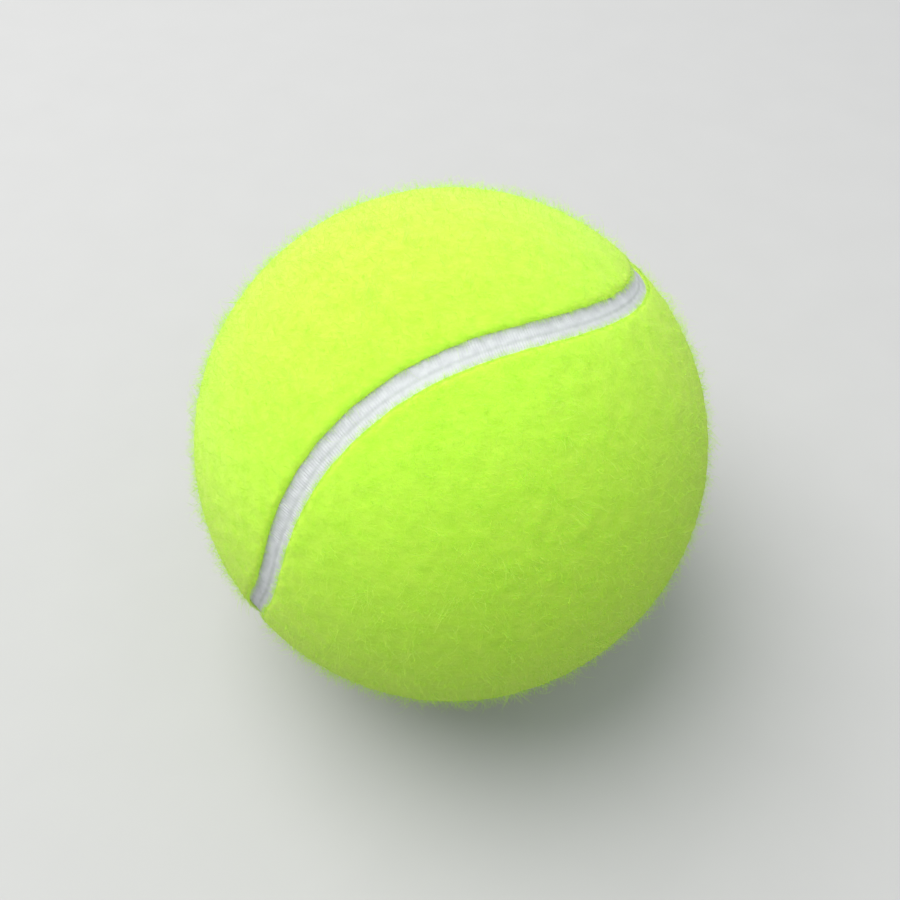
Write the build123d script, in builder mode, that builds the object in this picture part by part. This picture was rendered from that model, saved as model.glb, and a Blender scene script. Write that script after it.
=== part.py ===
"""Tennis ball: a hollow rubber core in two bonded halves, under two interlocking felt panels.

The origin is the ball's centre, and +Z is up as the ball lies on a floor.
"""

import os
from math import acos, cos, degrees, pi, radians, sin, sqrt

from build123d import *

# Driving sizes, in millimetres
ball_diameter = 67.0
felt_thickness = 3.2
felt_edge_round = 0.4
cement_thickness = 0.3
core_wall = 3.3
bond_thickness = 0.4
bond_bead_radius = 0.8
seam_width = 3.0
seam_depth = 0.8
seam_groove = 0.25

# The seam's course: the share by which the panels' waists are drawn in, how the whole seam is turned
# on the ball, and how it strays from an even course, as (waves, degrees aside, degrees along)
seam_waist_share = 0.33
seam_spin = 24.4
seam_tilt = 64.3
seam_heading = 110.9
seam_strays = (
    (1, 4.5, 48.0),
    (3, 2.7, 7.0),
    (4, 3.5, 102.0),
    (5, 2.9, -159.0),
    (6, 1.7, -32.0),
    (7, 2.1, 124.0),
)
seam_stations = 24
tangent_step = 0.001

# Radii of the layers, which follow from the driving sizes
ball_radius = ball_diameter / 2
felt_back_radius = ball_radius - felt_thickness
seam_radius = ball_radius - seam_depth
core_radius = felt_back_radius - cement_thickness
cavity_radius = core_radius - core_wall

# The walls that part the layers along the seam start inside the core's wall and end outside the felt
wall_inner_radius = (cavity_radius + core_radius) / 2
wall_outer_radius = ball_radius + felt_thickness / 2

on_sphere_tolerance = 0.001


def lay_seam(direction):
    """Turn a direction from the seam's own frame into the ball's frame."""
    spun = direction.rotate(Axis.Z, seam_spin)
    return spun.rotate(Axis.X, seam_tilt).rotate(Axis.Z, seam_heading)


def seam_direction(angle):
    """Unit direction from the ball's centre to the middle of the seam, at an angle of its course."""
    far = 1 - seam_waist_share
    near = seam_waist_share
    rise = 2 * sqrt(far * near)
    even = Vector(
        far * cos(angle) + near * cos(3 * angle),
        far * sin(angle) - near * sin(3 * angle),
        rise * sin(2 * angle),
    )
    along = Vector(
        -far * sin(angle) - 3 * near * sin(3 * angle),
        far * cos(angle) - 3 * near * cos(3 * angle),
        2 * rise * cos(2 * angle),
    )
    aside = even.cross(along).normalized()
    stray = sum(reach * cos(waves * angle - radians(start)) for waves, reach, start in seam_strays)
    lean = radians(stray)
    return lay_seam(even * cos(lean) + aside * sin(lean))


def seam_arcs():
    """The seam as a closed chain of tangent arcs: start direction, start heading and the arc's end."""
    stations = []
    for step in range(seam_stations):
        angle = 2 * pi * step / seam_stations
        place = seam_direction(angle)
        ahead = seam_direction(angle + tangent_step) - seam_direction(angle - tangent_step)
        stations.append((place, (ahead - place * place.dot(ahead)).normalized()))

    arcs = []
    for (place, heading), (next_place, next_heading) in zip(stations, stations[1:] + stations[:1]):
        chord = next_place - place
        pull = chord.dot(heading + next_heading)
        bend = 1 - heading.dot(next_heading)
        reach = (sqrt(pull**2 + 2 * bend * chord.dot(chord)) - pull) / (2 * bend)
        joint = (place + next_place + (heading - next_heading) * reach) * 0.5
        joint_heading = (next_place - joint - next_heading * reach).normalized()
        arcs.append((place, heading, joint))
        arcs.append((joint, joint_heading, next_place))
    return arcs


def seam_wall(shift):
    """Radial wall along the seam, moved sideways by shift millimetres, with one face for each arc."""
    lean = shift / ball_radius
    faces = []
    for place, heading, end in seam_course:
        chord = (end - place).normalized()
        axis = Axis((0, 0, 0), heading.cross(chord))
        sweep = 2 * degrees(acos(heading.dot(chord)))
        start = place * cos(lean) + place.cross(heading) * sin(lean)
        route = [start, start.rotate(axis, sweep / 2), start.rotate(axis, sweep)]
        inner_arc = Edge.make_three_point_arc(*[point * wall_inner_radius for point in route])
        outer_arc = Edge.make_three_point_arc(*[point * wall_outer_radius for point in route])
        faces.append(Face.make_surface_from_curves(inner_arc, outer_arc))
    return Shell(faces)


def layer(inner_radius, outer_radius, plane=Plane.XY):
    """Add a whole spherical layer to the part being built, with its poles on the plane's normal."""
    with Locations(plane):
        Sphere(outer_radius)
        Sphere(inner_radius, mode=Mode.SUBTRACT)


def keep_side(builder, wall, place):
    """Cut the part being built along a seam wall, and keep the solid that lies nearest to a place."""
    split(bisect_by=wall, keep=Keep.ALL)
    add(builder.part.solids().sort_by_distance(place)[0], mode=Mode.REPLACE)


def rim_edges(builder, radius):
    """Edges of the part being built that run on a sphere of the given radius."""
    return builder.edges().filter_by(lambda edge: abs((edge @ 0.5).length - radius) < on_sphere_tolerance)


def write(builder, name):
    """Label a finished piece and write it to its own file."""
    builder.part.label = name
    export_step(builder.part, f"parts/{name}.step")


os.makedirs("parts", exist_ok=True)

# Core: two moulded rubber half-shells with flat rims
with BuildPart() as core_half_lower:
    layer(cavity_radius, core_radius)
    split(bisect_by=Plane.XY.offset(-bond_thickness / 2), keep=Keep.BOTTOM)
write(core_half_lower, "core_half_lower")

with BuildPart() as core_half_upper:
    layer(cavity_radius, core_radius)
    split(bisect_by=Plane.XY.offset(bond_thickness / 2), keep=Keep.TOP)
write(core_half_upper, "core_half_upper")

# Cured cement between the rims, with the bead that was pressed out into the hollow
with BuildPart() as core_bond_ring:
    Torus(cavity_radius, bond_bead_radius)
    Sphere(cavity_radius, mode=Mode.INTERSECT)
    with BuildSketch(Plane.XZ):
        Circle(core_radius)
        Circle(cavity_radius, mode=Mode.SUBTRACT)
        with Locations((core_radius / 2, 0)):
            Rectangle(core_radius, bond_thickness, mode=Mode.INTERSECT)
    revolve(axis=Axis.Z)
write(core_bond_ring, "core_bond_ring")

# Cover: each side has a film of cement, a felt panel on it, and the pale coat on the panel's edge
seam_course = seam_arcs()
seam_middle_wall = seam_wall(0)

for side, hand in (("a", 1), ("b", -1)):
    panel_wall = seam_wall(hand * seam_width / 2)
    waist = lay_seam(Vector(0, 0, hand * ball_radius))

    # The poles and the zero meridian of this side's layers run along the other panel's spine
    spine_plane = Plane((0, 0, 0), x_dir=-waist, z_dir=lay_seam(Vector(1, hand, 0)))

    with BuildPart() as felt_cement:
        layer(core_radius, felt_back_radius, spine_plane)
        keep_side(felt_cement, seam_middle_wall, waist)
    write(felt_cement, f"felt_cement_{side}")

    with BuildPart() as felt_panel:
        layer(felt_back_radius, ball_radius, spine_plane)
        keep_side(felt_panel, panel_wall, waist)
        fillet(rim_edges(felt_panel, ball_radius), felt_edge_round)
    write(felt_panel, f"felt_panel_{side}")

    with BuildPart() as seam_coat:
        layer(felt_back_radius, seam_radius, spine_plane)
        keep_side(seam_coat, seam_middle_wall, waist)
        fillet(rim_edges(seam_coat, seam_radius), seam_groove)
        keep_side(seam_coat, panel_wall, seam_direction(0) * seam_radius)
    write(seam_coat, f"seam_coat_{side}")
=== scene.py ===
from collections import namedtuple
from math import asin, cos, pi, radians, sin, sqrt

import bmesh
import bpy
import numpy as np
from mathutils import Matrix, Vector, kdtree, noise


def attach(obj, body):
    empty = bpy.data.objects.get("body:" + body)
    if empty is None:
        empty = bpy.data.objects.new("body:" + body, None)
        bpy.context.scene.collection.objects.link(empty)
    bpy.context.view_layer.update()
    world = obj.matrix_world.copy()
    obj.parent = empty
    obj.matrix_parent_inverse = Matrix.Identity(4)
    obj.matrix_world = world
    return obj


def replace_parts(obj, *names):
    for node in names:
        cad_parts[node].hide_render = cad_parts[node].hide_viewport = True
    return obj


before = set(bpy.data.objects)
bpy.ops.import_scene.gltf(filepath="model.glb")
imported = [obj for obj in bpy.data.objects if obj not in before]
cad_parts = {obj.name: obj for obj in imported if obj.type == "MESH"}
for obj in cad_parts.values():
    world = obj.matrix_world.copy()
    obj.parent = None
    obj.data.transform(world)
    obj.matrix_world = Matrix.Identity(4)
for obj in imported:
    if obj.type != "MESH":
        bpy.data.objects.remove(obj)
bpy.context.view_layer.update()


# Core halves: two half-shells of dark rubber, pressed in heated dies and bonded at their flat rims.
# Their outside is buffed so that the cement grips it. The felt hides them.
core_rubber_dark = (0.030, 0.028, 0.027, 1)
core_rubber_buffed = (0.085, 0.080, 0.075, 1)
core_buff_scale = 900
core_buff_range = (0.35, 0.7)
core_roughness = 0.7
core_buff_roughness = 0.25
core_grit_scale = 5200
core_grit_height = 0.00004


class Shade:
    """A shader socket that takes part in sums: each operator adds a Math node to its material."""

    def __init__(self, socket):
        self.socket = socket

    def node(self, kind, settings, sockets, output=0):
        """Add a node to this socket's material, and wrap one of its outputs."""
        tree = self.socket.id_data
        made = tree.nodes.new(kind)
        for name, value in settings.items():
            setattr(made, name, value)
        for key, value in sockets.items():
            if isinstance(value, Shade):
                tree.links.new(value.socket, made.inputs[key])
            else:
                made.inputs[key].default_value = value
        return Shade(made.outputs[output])

    def feed(self, socket):
        """Link this socket to an input of a shader."""
        self.socket.id_data.links.new(self.socket, socket)

    def maths(self, operation, first, second):
        return self.node("ShaderNodeMath", {"operation": operation}, {0: first, 1: second})

    def blend(self, low, high):
        """The colour low where this value is 0, and high where it is 1."""
        return self.node("ShaderNodeMix", {"data_type": "RGBA"}, {0: self, 6: low, 7: high}, 2)

    def stretch(self, factors):
        """These coordinates drawn out along each axis by so much."""
        sockets = {0: self, 1: tuple(1 / factor for factor in factors)}
        return self.node("ShaderNodeVectorMath", {"operation": "MULTIPLY"}, sockets)

    def grain(self, scale, detail=2.0, twist=0.0):
        """Noise over these coordinates, with so many grains to the metre."""
        sockets = {"Vector": self, "Scale": scale, "Detail": detail, "Distortion": twist}
        return self.node("ShaderNodeTexNoise", {}, sockets)

    def spread(self, low, high):
        """This value with low drawn down to 0 and high drawn up to 1."""
        return self.node("ShaderNodeMapRange", {}, {0: self, 1: low, 2: high})

    def relief(self, distance, strength=1.0):
        """A normal with this value as its height."""
        return self.node("ShaderNodeBump", {}, {"Strength": strength, "Distance": distance, "Height": self})

    def __add__(self, other):
        return self.maths("ADD", self, other)

    def __mul__(self, other):
        return self.maths("MULTIPLY", self, other)

    __radd__ = __add__
    __rmul__ = __mul__


def start_finish(name, roughness):
    """A new material, with its shader and the coordinates of the piece that wears it."""
    finish = bpy.data.materials.new(name)
    finish.use_nodes = True
    shader = finish.node_tree.nodes["Principled BSDF"]
    shader.inputs["Roughness"].default_value = roughness
    places = finish.node_tree.nodes.new("ShaderNodeTexCoord")
    return finish, shader, Shade(places.outputs["Object"])


def buffed_rubber():
    finish, shader, place = start_finish("buffed_rubber", core_roughness)
    scuffs = place.grain(core_buff_scale, detail=4.0, twist=1.2).spread(*core_buff_range)
    grit = place.grain(core_grit_scale, detail=3.0)
    scuffs.blend(core_rubber_dark, core_rubber_buffed).feed(shader.inputs["Base Color"])
    (core_roughness + scuffs * core_buff_roughness).feed(shader.inputs["Roughness"])
    grit.relief(core_grit_height).feed(shader.inputs["Normal"])
    return finish


def dress(node_name, finish):
    """Give a solid of the frame its finish."""
    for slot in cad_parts[node_name].material_slots:
        slot.material = finish


core_finish = buffed_rubber()
for half in ("lower", "upper"):
    dress(f"core_half_{half}", core_finish)


# Bond ring: the cured rubber cement between the two rims, with the small bead that was pressed out
# into the hollow as the halves closed. It is amber brown and slightly glossy.
bond_dark = (0.10, 0.055, 0.025, 1)
bond_pale = (0.21, 0.125, 0.060, 1)
bond_flow_scale = 420
bond_flow_range = (0.3, 0.7)
bond_flow_height = 0.00006
bond_roughness = 0.3
bond_flow_roughness = 0.25


def cured_cement():
    finish, shader, place = start_finish("cured_cement", bond_roughness)
    flow = place.grain(bond_flow_scale, detail=3.0, twist=0.8)
    flow.spread(*bond_flow_range).blend(bond_dark, bond_pale).feed(shader.inputs["Base Color"])
    (bond_roughness + flow * bond_flow_roughness).feed(shader.inputs["Roughness"])
    flow.relief(bond_flow_height).feed(shader.inputs["Normal"])
    return finish


dress("core_bond_ring", cured_cement())


# Felt cement: a brushed film of pale latex on the core, one under each panel. It is dry and matt,
# with faint brush streaks.
latex_thin = (0.42, 0.39, 0.31, 1)
latex_thick = (0.62, 0.58, 0.48, 1)
latex_scale = 260
latex_range = (0.35, 0.65)
latex_streak_scale = 1500
latex_streak_share = 0.3
latex_streak_height = 0.00003
latex_roughness = 0.6
latex_streak_roughness = 0.2


def brushed_latex():
    finish, shader, place = start_finish("brushed_latex", latex_roughness)
    streaks = place.grain(latex_streak_scale, twist=2.5)
    blotches = place.grain(latex_scale, detail=3.0)
    cover = blotches * (1 - latex_streak_share) + streaks * latex_streak_share
    cover.spread(*latex_range).blend(latex_thin, latex_thick).feed(shader.inputs["Base Color"])
    (latex_roughness + streaks * latex_streak_roughness).feed(shader.inputs["Roughness"])
    streaks.relief(latex_streak_height).feed(shader.inputs["Normal"])
    return finish


latex_finish = brushed_latex()
for side in ("a", "b"):
    dress(f"felt_cement_{side}", latex_finish)


# Seam: where the two panels meet, the pale rubber that coats their cut edges fills the gap. It lies
# below the felt, with fine ribs across it, and the two coats meet in a line near the middle.
ball_radius = 0.0335
felt_back_radius = 0.0303
seam_radius = 0.0327
seam_width = 0.0030
seam_waist_share = 0.33
seam_spin = 24.4
seam_tilt = 64.3
seam_heading = 110.9
seam_strays = (
    (1, 4.5, 48.0),
    (3, 2.7, 7.0),
    (4, 3.5, 102.0),
    (5, 2.9, -159.0),
    (6, 1.7, -32.0),
    (7, 2.1, 124.0),
)
seam_course_steps = 2400
rib_count = 1160
steps_to_rib = 4
rib_height = 0.000045
rib_waver = 1.3
rib_waver_across = 2
rib_level = 0.6
rib_fade = 0.9
rib_fade_across = 3
ribs_to_fade = 4
rib_at_join = 0.3
rib_growth = 4
coat_waver = 0.00003
coat_waver_scale = 900

# The coats meet a little nearer to panel a than to panel b. Coat b swells there in a low bead, coat a
# dips, and both climb a little up the felt. Their sections: shares of a coat's width from the join,
# and heights over its plain level. A side's hand is 1 where panel a lies, and -1 where panel b lies
sides = (("a", 1), ("b", -1))
join_aside = 0.00022
coat_sections = {
    "a": (
        (0.00, 0.00018),
        (0.10, 0.00015),
        (0.22, 0.00014),
        (0.36, 0.00016),
        (0.54, 0.00018),
        (0.74, 0.00018),
        (0.90, 0.00020),
        (1.00, 0.00026),
    ),
    "b": (
        (0.00, 0.00018),
        (0.08, 0.00021),
        (0.18, 0.00022),
        (0.32, 0.00020),
        (0.52, 0.00019),
        (0.74, 0.00020),
        (0.90, 0.00025),
        (1.00, 0.00034),
    ),
}
coat_pale = (0.675, 0.685, 0.69, 1)
coat_grey = (0.56, 0.57, 0.58, 1)
coat_mottle_scale = 1100
coat_mottle_range = (0.3, 0.7)
coat_grain_scale = 6000
coat_grain_height = 0.00002
coat_roughness = 0.65
coat_grain_roughness = 0.2
coat_weld = ball_radius * 1e-6
sharp_corner = radians(50)

seam_turn = (
    Matrix.Rotation(radians(seam_heading), 3, "Z")
    @ Matrix.Rotation(radians(seam_tilt), 3, "X")
    @ Matrix.Rotation(radians(seam_spin), 3, "Z")
)


def seam_direction(angle):
    """Unit direction from the ball's centre to the middle of the seam, at an angle of its course."""
    far = 1 - seam_waist_share
    near = seam_waist_share
    rise = 2 * sqrt(far * near)
    even = Vector((
        far * cos(angle) + near * cos(3 * angle),
        far * sin(angle) - near * sin(3 * angle),
        rise * sin(2 * angle),
    ))
    along = Vector((
        -far * sin(angle) - 3 * near * sin(3 * angle),
        far * cos(angle) - 3 * near * cos(3 * angle),
        2 * rise * cos(2 * angle),
    ))
    aside = even.cross(along).normalized()
    stray = sum(reach * cos(waves * angle - radians(start)) for waves, reach, start in seam_strays)
    lean = radians(stray)
    return seam_turn @ (even * cos(lean) + aside * sin(lean))


def seam_stations(count):
    """Even steps along the seam's middle: each place on a unit ball, and the way across to panel a."""
    course = np.linspace(0, 2 * pi, seam_course_steps + 1)
    route = np.array([seam_direction(angle) for angle in course])
    lengths = np.cumsum(np.linalg.norm(np.diff(route, axis=0), axis=1))
    lengths = np.insert(lengths, 0, 0)
    even_lengths = np.linspace(0, lengths[-1], count, endpoint=False)
    angles = np.interp(even_lengths, lengths, course)
    places = [seam_direction(angle) for angle in angles]
    across = []
    for before, place, after in zip(places[-1:] + places[:-1], places, places[1:] + places[:1]):
        across.append(place.cross(after - before).normalized())
    return places, across


seam_places, seam_across = seam_stations(rib_count * steps_to_rib)


def beside_seam(station, aside):
    """Unit direction a distance aside from the seam's middle, over the ball's surface."""
    lean = aside / ball_radius
    return seam_places[station] * cos(lean) + seam_across[station] * sin(lean)


def new_piece(name, shape, finish):
    """Turn a finished bmesh into a piece that rides with the ball, smooth but for its sharp corners."""
    for face in shape.faces:
        face.smooth = True
    mesh = bpy.data.meshes.new(name)
    shape.to_mesh(mesh)
    shape.free()
    mesh.set_sharp_from_angle(angle=sharp_corner)
    mesh.materials.append(finish)
    piece = bpy.data.objects.new(name, mesh)
    bpy.context.scene.collection.objects.link(piece)
    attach(piece, "root")
    return piece


def coat_place(section, row, station, hand):
    """A point of one coat: its top rows run from the join out to the felt, and two rows lie at its back."""
    at_back = row >= len(section)
    if at_back:
        share = 1 if row == len(section) else 0
    else:
        share, height = section[row]
    direction = beside_seam(station, join_aside + share * (hand * seam_width / 2 - join_aside))
    if at_back:
        return direction * felt_back_radius
    rib = station / steps_to_rib
    phase = 2 * pi * rib + rib_waver * noise.noise((rib, share * rib_waver_across, hand))
    fade = rib_level + rib_fade * noise.noise((rib / ribs_to_fade, share * rib_fade_across, hand))
    ribs = rib_height * fade * min(1, rib_at_join + rib_growth * share) * cos(phase)
    waver = coat_waver * noise.noise(direction * ball_radius * coat_waver_scale)
    return direction * (seam_radius + height + ribs + waver)


def seam_coat(side, hand, finish):
    """One coat: a sheet as long as the seam, wrapped round its section and closed into a ring."""
    section = coat_sections[side]
    stations = len(seam_places)
    rows = len(section) + 2
    shape = bmesh.new()
    bmesh.ops.create_grid(shape, x_segments=stations, y_segments=rows, size=0.5)
    for vertex in shape.verts:
        station = round((vertex.co.x + 0.5) * stations) % stations
        row = round((vertex.co.y + 0.5) * rows) % rows
        vertex.co = coat_place(section, row, station, hand)
    bmesh.ops.remove_doubles(shape, verts=shape.verts, dist=coat_weld)
    bmesh.ops.recalc_face_normals(shape, faces=shape.faces)
    piece = new_piece(f"seam_coat_{side}_ribbed", shape, finish)
    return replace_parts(piece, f"seam_coat_{side}")


def coat_rubber():
    finish, shader, place = start_finish("coat_rubber", coat_roughness)
    mottle = place.grain(coat_mottle_scale, detail=4.0).spread(*coat_mottle_range)
    grain = place.grain(coat_grain_scale, twist=0.5)
    mottle.blend(coat_grey, coat_pale).feed(shader.inputs["Base Color"])
    (coat_roughness + grain * coat_grain_roughness).feed(shader.inputs["Roughness"])
    grain.relief(coat_grain_height, strength=0.6).feed(shader.inputs["Normal"])
    return finish


coat_finish = coat_rubber()
for side, hand in sides:
    seam_coat(side, hand, coat_finish)


# Felt panels: two blanks of needled wool and nylon felt, cut to the same waisted shape, stretched on
# to the core and cemented. The cloth is about 3 mm thick, dyed lime, and its cut edges swell up softly.
felt_detail = 7
felt_edge_zone = 0.0016
felt_edge_round = 0.00028
felt_lip = 0.00010
felt_lip_waver = 0.00012
felt_lip_scale = 500
felt_lip_zone = 0.0012
nap_depth = 0.00014
felt_lump = 0.00010
felt_lump_scale = 650
felt_tuft = 0.00008
felt_tuft_scale = 1700
felt_sliver = 1e-4
felt_weld = ball_radius * 1e-5

felt_deep = (0.49, 0.86, 0.038, 1)
felt_lime = (0.60, 0.985, 0.070, 1)
felt_glow = 0.7
felt_glow_reach = 0.0007
felt_glow_spread = (1, 1, 1)
felt_mottle_scale = 420
felt_mottle_share = 0.3
felt_streak_scale = 2400
felt_streak_stretch = (3.0, 1.2, 1.0)
felt_streak_share = 0.4
felt_mat_scale = 2600
felt_mat_share = 0.3
felt_mat_height = 0.00010
felt_tone_range = (0.33, 0.62)
felt_roughness = 0.9
felt_gloss = 0.2
felt_sheen = 0.22
felt_sheen_roughness = 0.6
felt_sheen_tint = (1.0, 1.0, 0.62, 1)

seam_tree = kdtree.KDTree(len(seam_places))
for station, place in enumerate(seam_places):
    seam_tree.insert(place, station)
seam_tree.balance()


def from_seam(direction):
    """Nearest station of the seam, and the distance from its middle, positive on panel a's side."""
    station = seam_tree.find(direction)[1]
    return station, ball_radius * asin(direction.dot(seam_across[station]))


def felt_outline(hand):
    """One panel's outline on a unit ball, as a sheet of fine triangles with a smooth border."""
    sheet = bmesh.new()
    bmesh.ops.create_icosphere(sheet, subdivisions=felt_detail, radius=1)
    beyond = [v for v in sheet.verts if hand * from_seam(v.co)[1] < seam_width / 2]
    bmesh.ops.delete(sheet, geom=beyond, context="VERTS")
    for vertex in [v for v in sheet.verts if v.is_boundary]:
        station = from_seam(vertex.co)[0]
        vertex.co = beside_seam(station, hand * seam_width / 2)
    bmesh.ops.dissolve_degenerate(sheet, dist=felt_sliver, edges=sheet.edges)
    near_edge = {v for v in sheet.verts if hand * from_seam(v.co)[1] < seam_width / 2 + felt_edge_zone}
    rim = [edge for edge in sheet.edges if near_edge.issuperset(edge.verts)]
    bmesh.ops.subdivide_edges(sheet, edges=rim, cuts=1, use_grid_fill=True)
    bmesh.ops.triangulate(sheet, faces=sheet.faces)
    for vertex in sheet.verts:
        vertex.co.normalize()
    return sheet


def felt_surface(direction, hand):
    """Place on the felt's face: rounded down and swollen out at the cut edge, and lumpy all over."""
    station, aside = from_seam(direction)
    inward = max(0.0, hand * aside - seam_width / 2)
    spot = direction * ball_radius
    lumps = felt_lump * noise.noise(spot * felt_lump_scale) + felt_tuft * noise.noise(spot * felt_tuft_scale)
    drop = max(0.0, felt_edge_round - inward)
    rounding = felt_edge_round - sqrt(felt_edge_round**2 - drop**2)
    level = ball_radius - nap_depth + lumps * min(1.0, inward / felt_edge_round) - rounding
    lip = felt_lip + felt_lip_waver * noise.noise(spot * felt_lip_scale)
    swell = max(0.0, 1 - inward / felt_lip_zone) ** 2 * lip
    if inward < felt_lip_zone:
        direction = beside_seam(station, aside - hand * swell)
    return direction * level


def felt_panel(side, hand, finish):
    """A closed panel: its face, a short wall down to the coat, a wall beside the coat, and its back."""
    cloth = felt_outline(hand)
    back = bmesh.ops.duplicate(cloth, geom=cloth.verts[:] + cloth.edges[:] + cloth.faces[:])["geom"]
    back_verts = {item for item in back if isinstance(item, bmesh.types.BMVert)}
    back_faces = [item for item in back if isinstance(item, bmesh.types.BMFace)]
    bmesh.ops.reverse_faces(cloth, faces=back_faces)
    border = [e for e in cloth.edges if e.is_boundary and not back_verts.intersection(e.verts)]
    face_verts = [v for v in cloth.verts if v not in back_verts]
    for level in (seam_radius, felt_back_radius):
        ring = bmesh.ops.extrude_edge_only(cloth, edges=border)["geom"]
        border = [item for item in ring if isinstance(item, bmesh.types.BMEdge)]
        for vertex in [item for item in ring if isinstance(item, bmesh.types.BMVert)]:
            vertex.co = vertex.co.normalized() * level
    for vertex in face_verts:
        vertex.co = felt_surface(vertex.co, hand)
    for vertex in back_verts:
        vertex.co *= felt_back_radius
    bmesh.ops.remove_doubles(cloth, verts=cloth.verts, dist=felt_weld)
    bmesh.ops.recalc_face_normals(cloth, faces=cloth.faces)
    piece = new_piece(f"felt_panel_{side}_cloth", cloth, finish)
    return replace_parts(piece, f"felt_panel_{side}")


def lime_felt():
    finish, shader, place = start_finish("lime_felt", felt_roughness)
    shader.inputs["Specular IOR Level"].default_value = felt_gloss
    shader.inputs["Subsurface Weight"].default_value = felt_glow
    shader.inputs["Subsurface Radius"].default_value = felt_glow_spread
    shader.inputs["Subsurface Scale"].default_value = felt_glow_reach
    shader.inputs["Sheen Weight"].default_value = felt_sheen
    shader.inputs["Sheen Roughness"].default_value = felt_sheen_roughness
    shader.inputs["Sheen Tint"].default_value = felt_sheen_tint
    mat = place.grain(felt_mat_scale, detail=4.0, twist=2.2)
    mottle = place.grain(felt_mottle_scale, detail=3.0)
    streaks = place.stretch(felt_streak_stretch).grain(felt_streak_scale, detail=3.0, twist=0.6)
    tone = mottle * felt_mottle_share + mat * felt_mat_share + streaks * felt_streak_share
    tone.spread(*felt_tone_range).blend(felt_deep, felt_lime).feed(shader.inputs["Base Color"])
    mat.relief(felt_mat_height, strength=0.6).feed(shader.inputs["Normal"])
    return finish


felt_finish = lime_felt()
felt_panels = {side: felt_panel(side, hand, felt_finish) for side, hand in sides}


# Nap: the fibres that brushing raises from the felt. Most stand up short, a few of them in tufts,
# some lie matted on its face, many lean out over the seam, and some stray well clear of the ball.
floor_level = -ball_radius
strand_corners = 3
strand_taper = (0.75, 1.0, 0.85, 0.35)
strand_sink = 0.00004
tuft_spread = 0.020
tuft_sway = 0.5
fringe_sway = 0.8
nap_pale = (0.55, 0.91, 0.085, 1)
nap_lime = (0.48, 0.86, 0.045, 1)
nap_roughness = 0.8
nap_sheen = 0.05
nap_glow_reach = 0.00004

# Each kind of nap on a panel: how many strands, how many of them to a tuft, how wide they are, the
# ranges of their lengths and of the slopes at which they rise and then fall, how they curl, and the
# range of their roots' distances from the cut edge
NapKind = namedtuple("NapKind", "name count tuft width length rise fall curl inset")
nap_kinds = (
    NapKind("matted", 5000, 1, 0.000016, (0.0014, 0.0030), (0.02, 0.12), (-0.35, -0.15), 1.0, (0.0004, 1)),
    NapKind("raised", 9800, 1, 0.000030, (0.0004, 0.0009), (0.50, 1.30), (-0.40, 0.90), 1.2, (0.0002, 1)),
    NapKind("brushed", 9800, 1, 0.000024, (0.0007, 0.0018), (0.70, 1.40), (0.00, 1.10), 1.0, (0.0004, 1)),
    NapKind("tufts", 960, 12, 0.000024, (0.0012, 0.0026), (0.80, 1.40), (-0.20, 0.90), 1.2, (0.0010, 1)),
    NapKind("stray", 1800, 1, 0.000020, (0.0014, 0.0034), (0.80, 1.40), (-0.60, 0.80), 1.8, (0.0006, 1)),
    NapKind("fringe", 9800, 1, 0.000020, (0.0003, 0.0009), (0.00, 0.60), (-0.70, 0.20), 0.9, (0, 0.0003)),
)
pale_kinds = ("matted", "stray", "tufts")


def strand_profile():
    """A three-cornered section of unit width, which every strand is drawn with."""
    outline = bpy.data.curves.new("strand_section", "CURVE")
    corners = outline.splines.new("POLY")
    corners.points.add(strand_corners - 1)
    corners.use_cyclic_u = True
    for corner, point in enumerate(corners.points):
        turn = 2 * pi * corner / strand_corners
        point.co = (cos(turn) / 2, sin(turn) / 2, 0, 1)
    section = bpy.data.objects.new("strand_section", outline)
    bpy.context.scene.collection.objects.link(section)
    return section


def panel_roots(kind, hand, dice):
    """Random places on a panel that lie as far from its cut edge as the kind asks."""
    roots = []
    low, high = kind.inset
    while len(roots) < kind.count // kind.tuft:
        direction = Vector(dice.normal(size=3)).normalized()
        if low < hand * from_seam(direction)[1] - seam_width / 2 < high:
            roots.append(direction)
    roots = np.repeat(np.array(roots), kind.tuft, axis=0)
    if kind.tuft > 1:
        roots += dice.normal(scale=tuft_spread, size=roots.shape)
    ways = np.repeat(dice.normal(size=(kind.count // kind.tuft, 3)), kind.tuft, axis=0)
    ways += dice.normal(scale=tuft_sway, size=ways.shape)
    return roots / np.linalg.norm(roots, axis=1, keepdims=True), ways


def edge_roots(kind, hand, dice):
    """Random places along a panel's cut edge, and ways out over the seam."""
    insets = dice.uniform(*kind.inset, kind.count)
    stations = dice.integers(len(seam_places), size=kind.count)
    roots = [beside_seam(spot, hand * (seam_width / 2 + inset)) for spot, inset in zip(stations, insets)]
    out = np.array([-hand * seam_across[spot] for spot in stations])
    return np.array(roots), out + dice.normal(scale=fringe_sway, size=out.shape)


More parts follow.
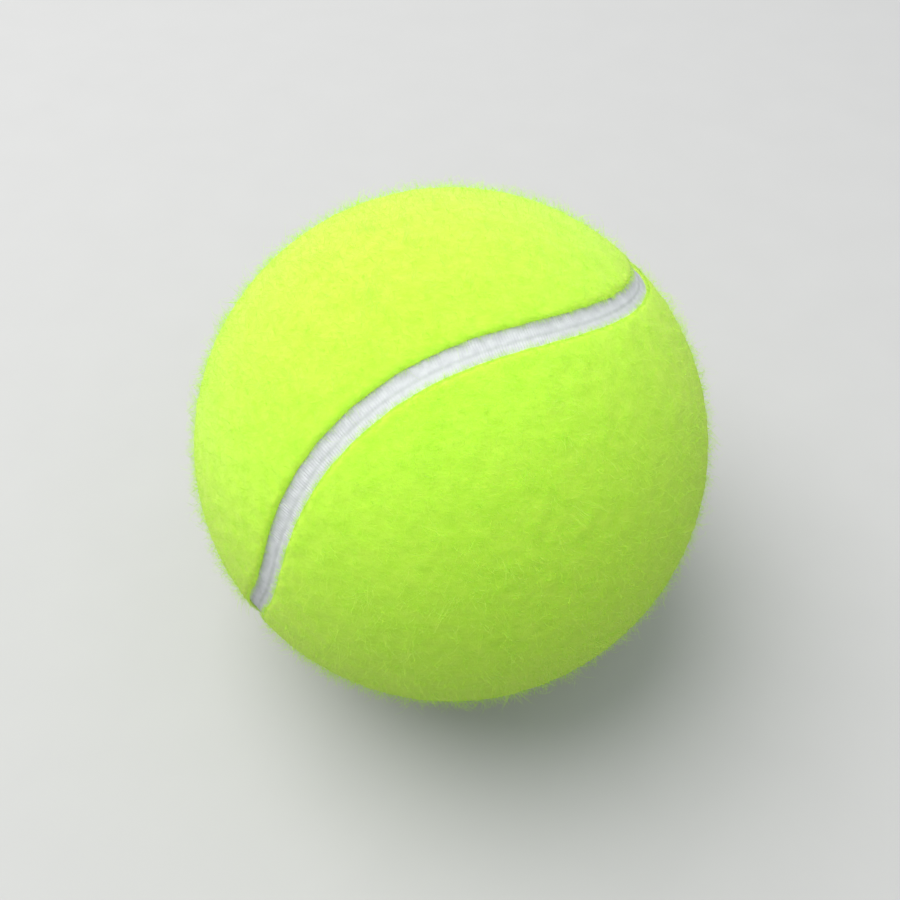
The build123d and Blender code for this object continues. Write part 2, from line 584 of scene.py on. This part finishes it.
def grow(kind, hand, dice):
    """Points of each strand of a kind, from its root to its tip, as it rises and falls above the floor."""
    find_roots = edge_roots if kind.name == "fringe" else panel_roots
    roots, ways = find_roots(kind, hand, dice)

    def draw(limits):
        return dice.uniform(*limits, (kind.count, 1))

    along = ways - roots * (ways * roots).sum(1, keepdims=True)
    along /= np.linalg.norm(along, axis=1, keepdims=True)
    aside = np.cross(roots, along)
    lengths, rises, falls = draw(kind.length), draw(kind.rise), draw(kind.fall)
    curls = dice.normal(0, kind.curl, (kind.count, 1))
    place = np.array([felt_surface(Vector(root), hand) for root in roots]) - roots * strand_sink
    trail = [place]
    steps = len(strand_taper) - 1
    for step in range(steps):
        share = (step + 0.5) / steps
        slope = rises + (falls - rises) * share
        yaw = curls * (share - 0.5)
        heading = (along * np.cos(yaw) + aside * np.sin(yaw)) * np.cos(slope) + roots * np.sin(slope)
        place = place + heading * lengths / steps
        trail.append(place)
    trails = np.stack(trail, axis=1)
    trails[..., 2] = np.maximum(trails[..., 2], floor_level)
    return trails


def nap_piece(name, trails, width, finish):
    """All strands of one kind on one panel, drawn as tapering closed tubes."""
    widths = [width * share for share in strand_taper]
    curve = bpy.data.curves.new(name, "CURVE")
    curve.dimensions = "3D"
    curve.bevel_mode = "OBJECT"
    curve.bevel_object = strand_section
    curve.use_fill_caps = True
    for trail in trails:
        spline = curve.splines.new("POLY")
        spline.points.add(len(trail) - 1)
        spline.points.foreach_set("co", np.insert(trail, 3, 1, axis=1).ravel())
        spline.points.foreach_set("radius", widths)
    drawn = bpy.data.objects.new(name, curve)
    bpy.context.scene.collection.objects.link(drawn)
    bpy.context.view_layer.update()
    tubes = bpy.data.meshes.new_from_object(drawn.evaluated_get(bpy.context.evaluated_depsgraph_get()))
    bpy.data.objects.remove(drawn)
    shape = bmesh.new()
    shape.from_mesh(tubes)
    bmesh.ops.recalc_face_normals(shape, faces=shape.faces)
    return new_piece(name, shape, finish)


def nap_fibre(name, colour):
    finish, shader = start_finish(name, nap_roughness)[:2]
    shader.inputs["Base Color"].default_value = colour
    shader.inputs["Specular IOR Level"].default_value = felt_gloss
    shader.inputs["Subsurface Weight"].default_value = felt_glow
    shader.inputs["Subsurface Radius"].default_value = felt_glow_spread
    shader.inputs["Subsurface Scale"].default_value = nap_glow_reach
    shader.inputs["Sheen Weight"].default_value = nap_sheen
    return finish


strand_section = strand_profile()
pale_fibre = nap_fibre("pale_fibre", nap_pale)
lime_fibre = nap_fibre("lime_fibre", nap_lime)
for seed, (side, hand) in enumerate(sides):
    dice = np.random.default_rng(seed)
    for kind in nap_kinds:
        fibre = pale_fibre if kind.name in pale_kinds else lime_fibre
        trails = grow(kind, hand, dice)
        nap_piece(f"nap_{side}_{kind.name}", trails, kind.width, fibre)
bpy.data.objects.remove(strand_section)


# Stage: a plain floor under the ball, a soft lamp high on the left, and the camera. The floor looks
# pale, and throws little light back at the ball.
floor_size = 3.0
floor_colour = (0.55, 0.54, 0.525, 1)
floor_bounce = (0.26, 0.25, 0.24, 1)
floor_shade = 0.96
floor_grain_scale = 90
floor_roughness = 0.9


def pale_floor():
    finish, shader, place = start_finish("pale_floor", floor_roughness)
    shade = tuple(floor_shade * value for value in floor_colour[:3]) + (1,)
    tone = place.grain(floor_grain_scale, detail=3.0).blend(shade, floor_colour)
    seen = place.node("ShaderNodeLightPath", {}, {}, "Is Camera Ray")
    seen.blend(floor_bounce, tone).feed(shader.inputs["Base Color"])
    return finish


ground = bmesh.new()
bmesh.ops.create_grid(ground, x_segments=1, y_segments=1, size=floor_size)
bmesh.ops.translate(ground, verts=ground.verts, vec=(0, 0, floor_level))
floor_mesh = bpy.data.meshes.new("floor")
ground.to_mesh(floor_mesh)
ground.free()
floor_mesh.materials.append(pale_floor())
floor = bpy.data.objects.new("floor", floor_mesh)
bpy.context.scene.collection.objects.link(floor)

lamp_direction = Vector((-0.38, 0.14, 0.92))
lamp_distance = 0.8
lamp_size = 0.8
lamp_power = 6.9
sky_colour = (0.90, 0.95, 1.0, 1)
sky_strength = 0.64


def aim(thing, target):
    """Turn a lamp or camera to look at a point, with its top upwards."""
    away = Vector(target) - thing.location
    thing.rotation_euler = away.to_track_quat("-Z", "Y").to_euler()


lamp_data = bpy.data.lights.new("soft_lamp", "AREA")
lamp_data.shape = "DISK"
lamp_data.size = lamp_size
lamp_data.energy = lamp_power
lamp = bpy.data.objects.new("soft_lamp", lamp_data)
lamp.location = lamp_direction.normalized() * lamp_distance
bpy.context.scene.collection.objects.link(lamp)
aim(lamp, (0, 0, 0))

sky = bpy.data.worlds.new("sky")
sky.use_nodes = True
sky.node_tree.nodes["Background"].inputs["Color"].default_value = sky_colour
sky.node_tree.nodes["Background"].inputs["Strength"].default_value = sky_strength
bpy.context.scene.world = sky

# The camera looks down at 52 degrees from 3.9 ball radii away. The ball sits a little right of the
# picture's middle and above it, so the camera is aimed just left of the ball's centre and below it.
camera_elevation = radians(52)
camera_distance = 3.9 * ball_radius
camera_lens_width = 36.0
camera_lens_length = 38.9
camera_nearest = 0.005
picture_width = 900
ball_right = 1.0
ball_up = 5.4

camera_data = bpy.data.cameras.new("camera")
camera_data.sensor_width = camera_lens_width
camera_data.lens = camera_lens_length
camera_data.clip_start = camera_nearest
camera = bpy.data.objects.new("camera", camera_data)
camera.location = camera_distance * Vector((0, -cos(camera_elevation), sin(camera_elevation)))
bpy.context.scene.collection.objects.link(camera)
pixel = camera_distance * camera_lens_width / (camera_lens_length * picture_width)
view_up = Vector((0, sin(camera_elevation), cos(camera_elevation)))
aim(camera, Vector((-ball_right * pixel, 0, 0)) - view_up * ball_up * pixel)
bpy.context.scene.camera = camera
bpy.context.scene.view_settings.view_transform = "Standard"
